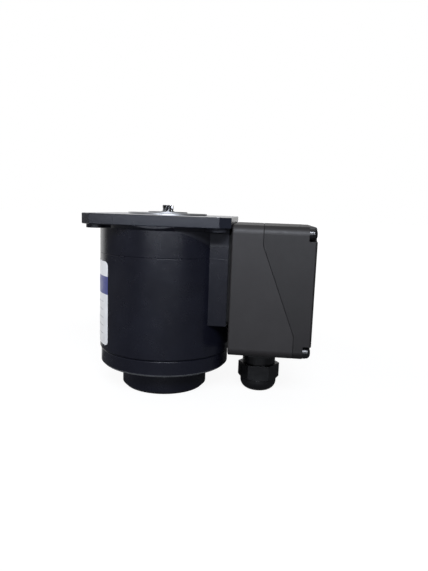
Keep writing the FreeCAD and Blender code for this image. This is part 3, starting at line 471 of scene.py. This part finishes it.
# Pinion: painted highlight on the tooth edges, and painted shade between the teeth
PINION_EDGE_HIGHLIGHT = (0.85, 0.85, 0.86)
TOOTH_SPACE_SHADE = (0.012, 0.012, 0.013)
GROUND_STEEL = (0.62, 0.63, 0.65)
BEARING_STEEL = (0.70, 0.71, 0.73)
BLACK_OXIDE = (0.0050, 0.0050, 0.0055)
BLACK_OXIDE_LIGHT = (0.0090, 0.0090, 0.0095)
BLACK_OXIDE_WORN = (0.10, 0.10, 0.105)
BRASS = (0.66, 0.54, 0.28)
TINNED_COPPER = (0.64, 0.63, 0.60)
SHEET_GROOVE = (0.20, 0.20, 0.215)
SHEET_EDGE = (0.38, 0.385, 0.40)
WIRE_DARK = (0.50, 0.20, 0.075)
WIRE_BRIGHT = (0.72, 0.34, 0.15)
PAPER = (0.76, 0.70, 0.56)
PAPER_LIGHT = (0.88, 0.84, 0.74)
LABEL_WHITE = (0.76, 0.77, 0.78)
LABEL_WHITE_LIGHT = (0.82, 0.825, 0.83)
LABEL_RULE = (0.20, 0.21, 0.24)
LABEL_BLUE = (0.075, 0.085, 0.24)
LEAD_COLOURS = {
    "black": (0.012, 0.012, 0.012),
    "red": (0.42, 0.020, 0.016),
    "white": (0.74, 0.73, 0.69),
    "grey": (0.25, 0.25, 0.26),
}


def paint_parts(look):
    """Colour, roughness and normal of the black satin paint."""
    tone = look.patches(18 * MM, 3, 0.35, 0.70)
    dust = look.patches(0.9 * MM, 2, 0.70, 0.80)
    on_edges = look.times(look.edges(0.35 * MM), look.patches(2.2 * MM, 3, 0.40, 0.62))
    colour = look.mix(tone, PAINT, PAINT_LIGHT)
    colour = look.mix(look.times(dust, 0.08), colour, PAINT_WORN)
    colour = look.mix(look.times(on_edges, 0.20), colour, PAINT_WORN)
    rough = look.patches(6 * MM, 4, 0.25, 0.75, 0.235, 0.28)
    waves = look.bump(look.noise(9 * MM, 2, (1, 1, 4)), 0.06 * MM, look.soft_normal(0.30 * MM))
    normal = look.bump(look.noise(0.8 * MM, 2), 0.002 * MM, waves)
    return colour, rough, normal


def satin_paint():
    """Plain black paint."""
    look = Look("satin_black_paint")
    colour, rough, normal = paint_parts(look)
    look.set(Base_Color=colour, Roughness=rough, Normal=normal)
    return look


def paint_with_pale_rim():
    """Black paint of the rear bracket, with a paler colour on the bevel of its lower rim."""
    look = Look("black_paint_with_pale_rim_bevel")
    colour, rough, normal = paint_parts(look)
    bevel_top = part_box("rear_cap")[1][2] + RIM_BEVEL
    bevel_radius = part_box("rear_bracket")[1][0] - RIM_BEVEL
    # paler colour painted all round the bevel of the lower rim
    rubbed = look.times(look.ramp(look.axis("Z"), bevel_top + RIM_BLUR, bevel_top),
                        look.ramp(look.radius(), bevel_radius - RIM_BLUR, bevel_radius))
    look.set(Base_Color=look.mix(rubbed, colour, PAINT_PALE_BEVEL), Roughness=rough, Normal=normal)
    return look


def dry_share(look):
    """1 where the flange shelters the box's side of the bracket from the spray, and 0 elsewhere."""
    below = look.math("SUBTRACT", FLANGE_LOW_Z, look.axis("Z"))
    overhang = look.math("SUBTRACT", look.axis("Y"), cad_low.y)
    sheltered = look.ramp(look.math("DIVIDE", below, overhang), WET_SLOPE, DRY_SLOPE)
    near = look.times(look.ramp(below, 0.0, DRY_START), look.ramp(below, DRY_DEPTH + DRY_FADE, DRY_DEPTH))
    return look.times(sheltered, near, look.ramp(look.axis("X"), 0.0, DRY_FULL_X))


def bracket_paint():
    """Black paint, dry under the flange, with a painted highlight on the flange's sides towards +X, and the
    mounting face and pilot turned bright.
    """
    look = Look("painted_bracket_with_turned_face")
    colour, rough, normal = paint_parts(look)
    rough = look.between(dry_share(look), rough, DRY_ROUGH)
    # Painted highlight: the flange's sides turn paler from -X up to X=0 and stay paler beyond it
    rim = look.times(look.above(look.axis("Z"), FLANGE_LOW_Z, RIM_BLUR),
                     look.ramp(look.axis("X"), cad_low.x, 0.0))
    colour = look.mix(rim, colour, PAINT_RIM_HIGHLIGHT)
    bare = look.above(look.axis("Z"), BARE_METAL_Z, 0.02 * MM)
    turned = look.rings(0.32 * MM)
    bright = look.mix(look.patches(5 * MM, 3, 0.35, 0.7), BARE_ALUMINIUM, BARE_ALUMINIUM_DULL)
    turned_rough = look.ramp(turned, 0.0, 1.0, 0.32, 0.44)
    turned_normal = look.bump(turned, 0.006 * MM, look.soft_normal(0.15 * MM))
    look.set(Base_Color=look.mix(bare, colour, bright), Metallic=bare,
             Roughness=look.between(bare, rough, turned_rough),
             Normal=look.mix(bare, normal, turned_normal))
    return look


def moulded_plastic(name, colour, light, grain, rough=(0.48, 0.54)):
    """Moulded plastic with a fine grain, slightly paler on its edges."""
    look = Look(name)
    tone = look.patches(14 * MM, 3, 0.35, 0.72)
    rubbed = look.times(look.edges(0.4 * MM), 0.15)
    colour = look.mix(tone, colour, light)
    look.set(Base_Color=look.mix(rubbed, colour, tuple(2.2 * c for c in light)),
             Roughness=look.patches(4 * MM, 4, 0.25, 0.75, *rough),
             Normal=look.bump(look.noise(grain, 2), 0.02 * MM, look.soft_normal(0.3 * MM)))
    return look


def tooth_spaces(look):
    """About 1 deep between the teeth of the pinion and 0 on their tips and below them."""
    return look.times(look.ramp(look.radius(), TOOTH_TIP, TOOTH_ROOT),
                      look.above(look.axis("Z"), TOOTH_LOW_Z, 0.1 * MM))


def steel(name, colour, rough, on_edges=None, toothed=False):
    """Metal with fine marks, with a painted highlight on its edges and painted shade between its teeth where
    asked.
    """
    look = Look(name, metal=1.0)
    tone = look.patches(1.5 * MM, 3, 0.3, 0.7)
    shade = look.mix(tone, colour, tuple(0.8 * c for c in colour))
    if on_edges:
        # painted highlight: sharp edges take the given paler colour
        shade = look.mix(look.times(look.edges(0.2 * MM), 0.9), shade, on_edges)
    if toothed:
        # painted shade: dark colour in the spaces between the pinion's teeth
        shade = look.mix(tooth_spaces(look), shade, TOOTH_SPACE_SHADE)
    look.set(Base_Color=shade,
             Roughness=look.patches(0.8 * MM, 4, 0.25, 0.75, rough - 0.06, rough + 0.08),
             Normal=look.bump(look.noise(0.25 * MM, 2), 0.003 * MM, look.soft_normal(0.12 * MM)))
    return look


def blackened_steel():
    """Screws with a glossy black finish, rubbed through on sharp edges."""
    look = Look("blackened_steel", shine=0.6)
    on_edges = look.times(look.edges(0.12 * MM), look.patches(0.7 * MM, 3, 0.45, 0.7))
    tone = look.patches(1.2 * MM, 3, 0.3, 0.7)
    colour = look.mix(tone, BLACK_OXIDE, BLACK_OXIDE_LIGHT)
    look.set(Base_Color=look.mix(look.times(on_edges, 0.7), colour, BLACK_OXIDE_WORN),
             Roughness=look.patches(0.6 * MM, 4, 0.25, 0.75, 0.14, 0.24),
             Normal=look.bump(look.noise(0.3 * MM, 2), 0.002 * MM, look.soft_normal(0.1 * MM)))
    return look


def rubber(name, colour):
    """Dull rubber with a little dust on it."""
    look = Look(name, shine=0.3)
    dusty = look.patches(3 * MM, 4, 0.45, 0.8)
    look.set(Base_Color=look.mix(dusty, colour, tuple(1.8 * c + 0.004 for c in colour)),
             Roughness=look.patches(1.5 * MM, 3, 0.3, 0.7, 0.62, 0.80),
             Normal=look.bump(look.noise(0.4 * MM, 3), 0.015 * MM, look.soft_normal(0.2 * MM)))
    return look


def layered_steel():
    """Stacked laminations, with a groove between sheets."""
    look = Look("stacked_laminations", metal=1.0)
    sheets = look.layers(0.5 * MM)
    look.set(Base_Color=look.mix(sheets, SHEET_GROOVE, SHEET_EDGE),
             Roughness=look.patches(2 * MM, 3, 0.3, 0.7, 0.38, 0.52),
             Normal=look.bump(sheets, 0.05 * MM))
    return look


def copper_wire():
    """Enamelled winding wire under varnish, lying round the bore."""
    look = Look("varnished_copper_wire", metal=0.85)
    strands = look.noise(0.8 * MM, 2, (1, 1, 0.5))
    look.set(Base_Color=look.mix(strands, WIRE_DARK, WIRE_BRIGHT),
             Roughness=look.ramp(strands, 0.3, 0.7, 0.22, 0.40),
             Normal=look.bump(strands, 0.25 * MM))
    return look


def slot_paper():
    """Fibrous paper that lines the slots."""
    look = Look("slot_paper", shine=0.3)
    fibre = look.noise(0.5 * MM, 4, (1, 1, 4))
    look.set(Base_Color=look.mix(fibre, PAPER, PAPER_LIGHT),
             Roughness=look.ramp(fibre, 0.3, 0.7, 0.68, 0.82),
             Normal=look.bump(fibre, 0.02 * MM))
    return look


def cast_metal():
    """Aluminium with the rough skin of a casting."""
    look = Look("cast_aluminium", metal=1.0)
    skin = look.noise(0.6 * MM, 4)
    look.set(Base_Color=look.mix(skin, CAST_ALUMINIUM, CAST_ALUMINIUM_LIGHT),
             Roughness=look.ramp(skin, 0.3, 0.7, 0.36, 0.52),
             Normal=look.bump(skin, 0.03 * MM, look.soft_normal(0.2 * MM)))
    return look


def label_film():
    """White film with a blue band and an empty ruled table."""
    look = Look("label_film", shine=0.45)
    height = look.axis("Z")
    around = look.math("ARCTAN2", look.axis("Y"), look.times(look.axis("X"), -1.0))
    band = look.within(height, LABEL_BAND_LOW, LABEL_BAND_TOP, PRINT_EDGE)
    rows = look.math("PINGPONG", look.math("SUBTRACT", LABEL_BAND_LOW, height), TABLE_ROW)
    columns = look.math("PINGPONG", look.math("ADD", around, math.pi), TABLE_COLUMN)
    rule = look.math("MAXIMUM", look.ramp(rows, RULE_HALF_WIDTH + RULE_BLUR, RULE_HALF_WIDTH),
                     look.ramp(columns, RULE_HALF_TURN + RULE_TURN_BLUR, RULE_HALF_TURN))
    inside = look.ramp(look.math("ABSOLUTE", around), TABLE_HALF_TURN + PRINT_TURN_EDGE, TABLE_HALF_TURN)
    table = look.times(look.within(height, TABLE_LOW, TABLE_TOP, PRINT_EDGE), inside)
    white = look.mix(look.patches(9 * MM, 3, 0.3, 0.7), LABEL_WHITE, LABEL_WHITE_LIGHT)
    colour = look.mix(look.times(rule, table), white, LABEL_RULE)
    look.set(Base_Color=look.mix(band, colour, LABEL_BLUE),
             Roughness=look.patches(3 * MM, 3, 0.3, 0.7, 0.30, 0.42),
             Normal=look.bump(look.noise(2.5 * MM, 2), 0.02 * MM))
    return look


def insulation(name, colour):
    """Smooth sleeve of a lead, slightly scuffed."""
    look = Look(name, shine=0.4)
    scuff = look.patches(1.2 * MM, 3, 0.4, 0.75)
    look.set(Base_Color=look.mix(scuff, colour, tuple(0.85 * c + 0.01 for c in colour)),
             Roughness=look.patches(2 * MM, 3, 0.3, 0.7, 0.34, 0.48),
             Normal=look.bump(look.noise(0.6 * MM, 2), 0.01 * MM))
    return look


def dress_casing():
    """Painted casing, label, and the shaft with its pinion."""
    dress(satin_paint(), "stator_housing", "rear_cap")
    dress(paint_with_pale_rim(), "rear_bracket")
    dress(bracket_paint(), "front_bracket")
    dress(label_film(), "rating_label")
    dress(steel("pinion_steel", PINION_STEEL, 0.20, on_edges=PINION_EDGE_HIGHLIGHT, toothed=True), "pinion_shaft")


def dress_box():
    """Terminal box and gland, with the terminals and leads inside."""
    dress(moulded_plastic("grained_grey_base", BOX_GREY, BOX_GREY_LIGHT, 0.45 * MM), "terminal_box_base")
    dress(moulded_plastic("grained_grey_cover", COVER_GREY, COVER_GREY_LIGHT, 0.45 * MM),
          "terminal_box_cover")
    dress(moulded_plastic("black_nylon", NYLON, NYLON_LIGHT, 0.8 * MM, (0.30, 0.42)),
          "gland_body", "gland_nut", "gland_locknut")
    dress(moulded_plastic("block_plastic", BLOCK_GREY, BLOCK_GREY_LIGHT, 0.5 * MM), "terminal_block")
    dress(steel("brass_plating", BRASS, 0.28), "earth_screw", "earth_washer", "terminal_plates")
    dress(steel("tinned_copper", TINNED_COPPER, 0.32), "lead_lugs")
    for name, colour in LEAD_COLOURS.items():
        dress(insulation(name + "_insulation", colour), "lead_" + name)


def dress_inside():
    """Stator, rotor, bearings, seals and the inner screws."""
    dress(layered_steel(), "stator_core", "rotor_core")
    dress(copper_wire(), "stator_windings")
    dress(slot_paper(), "slot_insulation")
    dress(cast_metal(), "rotor_cage")
    dress(rubber("black_rubber", RUBBER_BLACK), "shaft_seal", "cover_gasket", "seat_gasket",
          "lead_grommet", "gland_sealing_ring", "gland_seal")
    dress(steel("ground_steel", GROUND_STEEL, 0.26), "front_bearing_shields", "rear_bearing_shields",
          "front_ball_cage", "rear_ball_cage", "wave_washer", "box_screws", "terminal_screws", "block_screws")
    dress(steel("bearing_steel", BEARING_STEEL, 0.16), "front_bearing_inner", "front_bearing_outer",
          "front_bearing_balls", "rear_bearing_inner", "rear_bearing_outer", "rear_bearing_balls")


def dress_black_screws():
    """Screws that show outside, with their washers."""
    blackened = blackened_steel()
    dress(blackened, "cover_washers", "cover_screws", "through_bolts")
    make_cover_screws(blackened)
    make_through_bolts(blackened)


# Stage: the room that reflections show, the lamps' tint and aim, and the floor by its distance from the part
WORLD_AMBIENT = 0.60
BACKDROP_WAY = (-0.40, 0.92, 0.0)
BACKDROP_EDGE = 0.70
BACKDROP_FULL = 0.90
ROOM_LEFT = 0.36
ROOM_RIGHT = 0.08
ROOM_TURN = 0.6
WINDOW_TINT = (0.86, 0.905, 1.0)
LIT_SPOT = (0.01, 0.0, -0.02)
WHITE = (1.0, 1.0, 1.0)
FLOOR_PALE = (0.12, 0.12, 0.12)
FLOOR_LIFT = 0.91
FLOOR_UNDER = 0.04
FLOOR_CLEAR = 0.06
FLOOR_NEAR = 0.16
FLOOR_FAR = 0.42
FLOOR_REACH = 6.0
FLOOR_DROP = 0.02 * MM


def ray_kinds(graph):
    """1 for rays from the camera, and 1 for rays that were mirrored or went through something clear."""
    path = graph.node("ShaderNodeLightPath").outputs
    return path["Is Camera Ray"], graph.math("MAXIMUM", path["Is Glossy Ray"], path["Is Transmission Ray"])


def backdrop(graph, way):
    """1 in the directions of the white backdrop and 0 in the others."""
    facing = graph.vectors("DOT_PRODUCT", way, BACKDROP_WAY, "Value")
    return graph.ramp(facing, BACKDROP_EDGE, BACKDROP_FULL)


def make_world():
    """White to the camera; to reflections a white backdrop behind and a dim room, paler on the left."""
    world = bpy.data.worlds.new("studio")
    bpy.context.scene.world = world
    world.use_nodes = True
    sky = Graph(world.node_tree, "Generated")
    from_camera, mirrored = ray_kinds(sky)
    sides = sky.ramp(sky.axis("X"), -ROOM_TURN, ROOM_TURN, ROOM_LEFT, ROOM_RIGHT)
    room = sky.math("MAXIMUM", backdrop(sky, sky.place), sides)
    share = sky.ramp(mirrored, 0.0, 1.0, WORLD_AMBIENT, 1.0)
    background = world.node_tree.nodes["Background"].inputs
    sky.feed(background["Strength"], sky.math("MAXIMUM", from_camera, sky.times(room, share)))
    sky.feed(background["Color"], WHITE)


def floor_look():
    """Pale floor that runs out to white, mirrors as white only behind the part, and is clear from below."""
    look = Look("pale_floor", rough=0.85, shine=0.2)
    away = look.vectors("LENGTH", look.place, result="Value")
    from_camera, mirrored = ray_kinds(look)
    behind = look.times(backdrop(look, look.vectors("NORMALIZE", look.place)),
                        look.ramp(away, FLOOR_UNDER, FLOOR_CLEAR))
    seen = look.math("MAXIMUM", from_camera, look.times(mirrored, behind))
    lift = look.ramp(away, FLOOR_NEAR, FLOOR_FAR, FLOOR_LIFT, 1.0)
    look.set(Base_Color=FLOOR_PALE, Emission_Color=WHITE, Emission_Strength=look.times(seen, lift))
    one_sided = look.node("ShaderNodeMixShader")
    look.feed(one_sided.inputs[0], look.node("ShaderNodeNewGeometry").outputs["Backfacing"])
    look.feed(one_sided.inputs[1], look.shader.outputs[0])
    look.feed(one_sided.inputs[2], look.node("ShaderNodeBsdfTransparent").outputs[0])
    look.feed(look.tree.nodes["Material Output"].inputs["Surface"], one_sided.outputs[0])
    return look


def make_floor():
    """A large square floor just under the rear cap."""
    mesh = bpy.data.meshes.new("floor")
    reach = FLOOR_REACH
    corners = [(-reach, -reach, 0), (reach, -reach, 0), (reach, reach, 0), (-reach, reach, 0)]
    mesh.from_pydata(corners, [], [(0, 1, 2, 3)])
    mesh.materials.append(floor_look().material)
    floor = bpy.data.objects.new("floor", mesh)
    floor.location.z = cad_low.z - FLOOR_DROP
    bpy.context.scene.collection.objects.link(floor)


def area_light(name, place, target, size, power, tint=WHITE):
    """A rectangular lamp, with its width and height in metres and its power in watts."""
    lamp = bpy.data.lights.new(name, "AREA")
    lamp.color = tint
    lamp.shape = "RECTANGLE"
    lamp.size, lamp.size_y = size
    lamp.energy = power
    light = bpy.data.objects.new(name, lamp)
    light.location = place
    light.rotation_euler = (Vector(target) - Vector(place)).to_track_quat("-Z", "Y").to_euler()
    bpy.context.scene.collection.objects.link(light)
    return light


def make_lights():
    """Two lamps in front, a fill on the left that no surface mirrors, and a faint light from the top."""
    middle = (cad_low + cad_high) / 2
    area_light("window", place=(0.07, -0.90, 0.085), target=LIT_SPOT, size=(0.95, 0.09), power=2.3,
               tint=WINDOW_TINT)
    area_light("ceiling", place=(0.16, -0.76, 0.525), target=LIT_SPOT, size=(0.50, 0.30), power=8.1,
               tint=WINDOW_TINT)
    fill = area_light("fill", place=(-0.60, -0.20, -0.06), target=middle, size=(0.40, 0.40), power=2.3)
    fill.visible_glossy = False
    area_light("top", place=(0.10, 0.05, 0.55), target=middle, size=(0.60, 0.60), power=0.4)


def make_camera():
    """The camera that was fitted to the photograph."""
    data = bpy.data.cameras.new("photo_camera")
    data.sensor_width = SENSOR
    data.lens = FOCAL_PIXELS * SENSOR / PHOTO_HEIGHT
    data.clip_start = CLIP_START
    camera = bpy.data.objects.new("photo_camera", data)
    turn = (Matrix.Rotation(math.radians(CAMERA_YAW), 4, "Z")
            @ Matrix.Rotation(math.radians(90 + CAMERA_PITCH), 4, "X")
            @ Matrix.Rotation(math.radians(CAMERA_ROLL), 4, "Z"))
    camera.matrix_world = Matrix.Translation(CAMERA_PLACE) @ turn
    bpy.context.scene.collection.objects.link(camera)
    bpy.context.scene.camera = camera


dress_casing()
dress_box()
dress_inside()
dress_black_screws()
make_world()
make_floor()
make_lights()
make_camera()
bpy.context.scene.view_settings.view_transform = "Standard"
